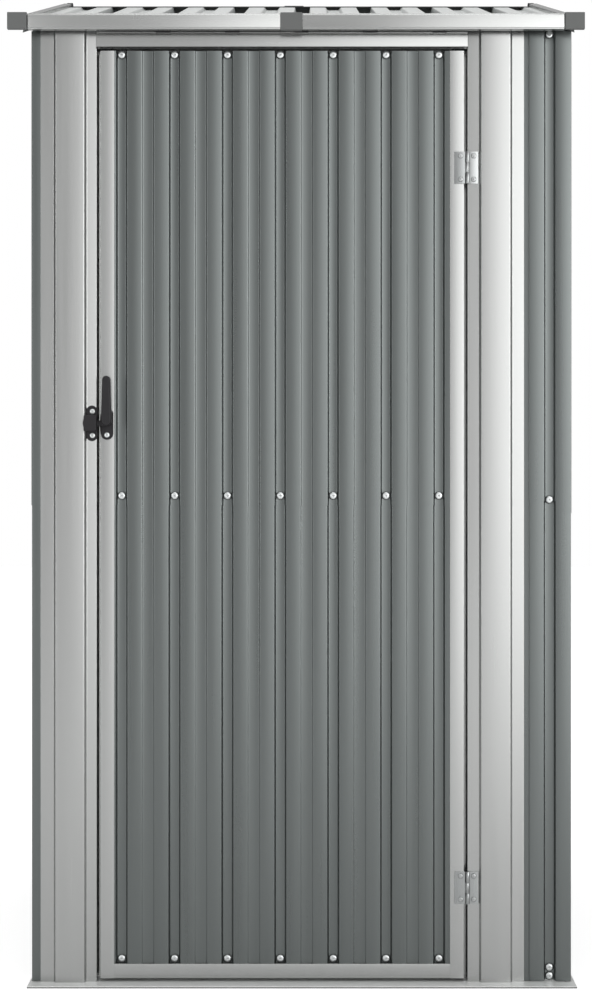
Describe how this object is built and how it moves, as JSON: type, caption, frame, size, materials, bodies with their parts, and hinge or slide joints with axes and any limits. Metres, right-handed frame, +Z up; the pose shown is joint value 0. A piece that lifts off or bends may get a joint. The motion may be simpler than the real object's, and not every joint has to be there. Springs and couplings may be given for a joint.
{
  "type": "metal storage shed",
  "caption": "Narrow sheet-metal storage shed with ribbed walls, a low gable roof and an outward-opening hinged door with a turning lever latch.",
  "frame": {"origin": "centre of the footprint of the whole object, at ground level", "axes": "+Z up, -Y to the front with the door, +X to the right seen from the front"},
  "size_m": [0.87, 0.98, 1.59],
  "materials": {
    "grey_sheet": "satin",
    "grey_trim": "satin",
    "hinge_steel": "zinc plated",
    "grey_plastic": "matte",
    "black_plastic": "matte"
  },
  "bodies": {
    "shed": {"back_eave_bars": "grey_trim", "back_middle_rail": "grey_trim", "back_roof_sheet": "grey_sheet", "back_top_rail": "grey_trim", "back_wall_lower": "grey_sheet", "back_wall_upper": "grey_sheet", "base_back_rail": "grey_trim", "base_front_rail": "grey_trim", "base_left_rail": "grey_trim", "base_right_rail": "grey_trim", "centre_caps": "grey_plastic", "corner_caps": "grey_plastic", "corner_posts": "grey_trim", "front_eave_bars": "grey_trim", "front_roof_sheet": "grey_sheet", "front_top_rail": "grey_trim", "front_wall_lower": "grey_sheet", "front_wall_upper": "grey_sheet", "hinge_jamb_leaves": "hinge_steel", "latch_keeper": "black_plastic", "left_barge_trims": "grey_trim", "left_gable": "grey_sheet", "left_jamb": "grey_trim", "left_wall_lower": "grey_sheet", "left_wall_upper": "grey_sheet", "lintel": "grey_trim", "ridge_beam": "grey_trim", "ridge_cap": "grey_trim", "right_barge_trims": "grey_trim", "right_gable": "grey_sheet", "right_jamb": "grey_trim", "right_wall_lower": "grey_sheet", "right_wall_upper": "grey_sheet", "side_middle_rails": "grey_trim", "side_top_rails": "grey_trim"},
    "door": {"door_bottom_rail": "grey_trim", "door_left_stile": "grey_trim", "door_middle_rail": "grey_trim", "door_right_stile": "grey_trim", "door_sheet_lower": "grey_sheet", "door_sheet_upper": "grey_sheet", "door_top_rail": "grey_trim", "handle_base": "black_plastic", "hinge_door_leaves": "hinge_steel"},
    "handle": {"handle_lever": "black_plastic"}
  },
  "joints": [
    {"name": "door_hinge", "type": "hinge", "parent": "shed", "child": "door", "pos_m": [0.2603, -0.462, 0.7], "axis": [0, 0, 1], "range_deg": [0, 150]},
    {"name": "handle_turn", "type": "hinge", "parent": "door", "child": "handle", "pos_m": [-0.2872, -0.4585, 0.8552], "axis": [0, 1, 0], "range_deg": [0, 90]}
  ]
}
